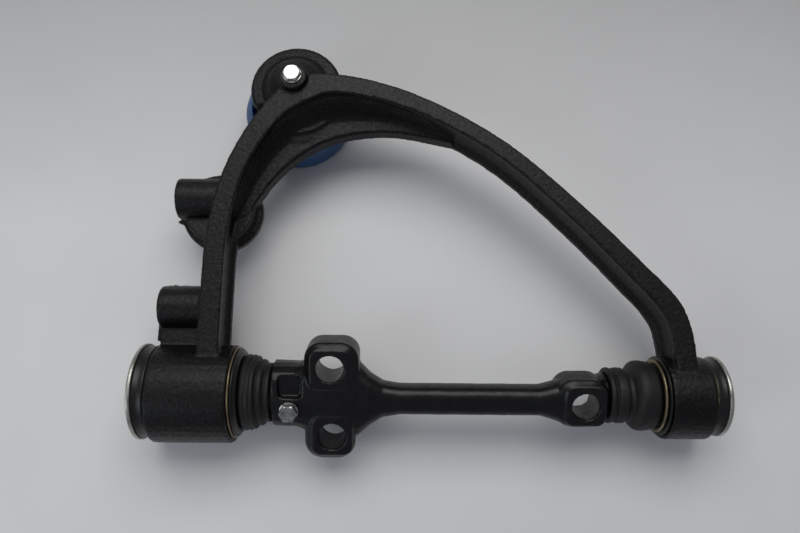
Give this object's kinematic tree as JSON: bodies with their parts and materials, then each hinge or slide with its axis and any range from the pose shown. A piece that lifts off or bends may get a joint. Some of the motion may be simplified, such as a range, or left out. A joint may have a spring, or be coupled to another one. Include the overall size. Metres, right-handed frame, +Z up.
{
  "type": "suspension control arm",
  "caption": "Cast upper suspension arm with two legs on a forged cross-shaft with tilted bolting pads, greased bushes, dust boots and a ball joint under a blue stud cover.",
  "frame": {"origin": "middle of the bounding box in X and Y, at its lowest Z, where the big eye's end cap and the stud cover stand", "axes": "+X along the cross-shaft from the big eye to the small eye, +Y from the cross-shaft to the ball joint, +Z up"},
  "size_m": [0.3526, 0.2674, 0.0703],
  "materials": {
    "painted_cast_iron": "satin black paint over rough sand casting",
    "forged_black": "satin black paint on a smooth forging",
    "zinc": "zinc plated, slightly dulled",
    "yellow_zinc": "yellow passivated zinc plate",
    "bright_steel": "turned steel, lightly oiled",
    "bearing_bronze": "bronze-lined bearing shell",
    "rubber": "matt black rubber",
    "seat_plastic": "natural bearing plastic",
    "blue_plastic": "dark blue moulded plastic"
  },
  "bodies": {
    "arm": {"cast_arm": "painted_cast_iron", "big_bush_sleeve": "bright_steel", "big_bush_liner": "bearing_bronze", "big_end_seal": "rubber", "big_end_cap": "zinc", "big_thrust_washer": "yellow_zinc", "big_dust_boot": "rubber", "small_bush_sleeve": "bright_steel", "small_bush_liner": "bearing_bronze", "small_end_seal": "rubber", "small_end_cap": "zinc", "small_thrust_washer": "yellow_zinc", "small_dust_boot": "rubber", "small_boot_band": "yellow_zinc", "upper_ball_seat": "seat_plastic", "lower_ball_seat": "seat_plastic", "closing_plate": "bright_steel", "snap_ring": "bright_steel", "joint_grease_plug": "zinc", "boot_clamp_ring": "bright_steel"},
    "cross_shaft": {"cross_shaft": "forged_black", "shaft_grease_plug": "zinc", "big_shaft_washer": "zinc", "big_shaft_nut": "bright_steel", "small_shaft_washer": "zinc", "small_shaft_nut": "bright_steel"},
    "joint_boot": {"joint_boot": "rubber"},
    "boot_ring": {"boot_small_ring": "bright_steel"},
    "ball_stud": {"ball_stud": "bright_steel", "castle_nut": "zinc", "cotter_pin": "zinc"},
    "protective_cap": {"protective_cap": "blue_plastic"}
  },
  "joints": [
    {"name": "shaft_swing", "type": "hinge", "parent": "arm", "child": "cross_shaft", "pos_m": [0, -0.09507, 0.029], "axis": [1, 0, 0], "range_deg": [-35, 35]},
    {"name": "stud_tilt_fore", "type": "hinge", "parent": "arm", "child": "joint_boot", "pos_m": [-0.088, 0.09893, 0.041], "axis": [1, 0, 0], "range_deg": [-18, 18], "deforming": ["joint_boot"]},
    {"name": "stud_tilt_side", "type": "hinge", "parent": "joint_boot", "child": "boot_ring", "pos_m": [-0.088, 0.09893, 0.041], "axis": [0, 1, 0], "range_deg": [-18, 18]},
    {"name": "stud_spin", "type": "hinge", "parent": "boot_ring", "child": "ball_stud", "pos_m": [-0.088, 0.09893, 0.041], "axis": [0, 0, 1], "continuous": true},
    {"name": "cap_pull", "type": "slide", "parent": "arm", "child": "protective_cap", "axis": [0, 0, -1], "range_m": [0, 0.045]}
  ]
}
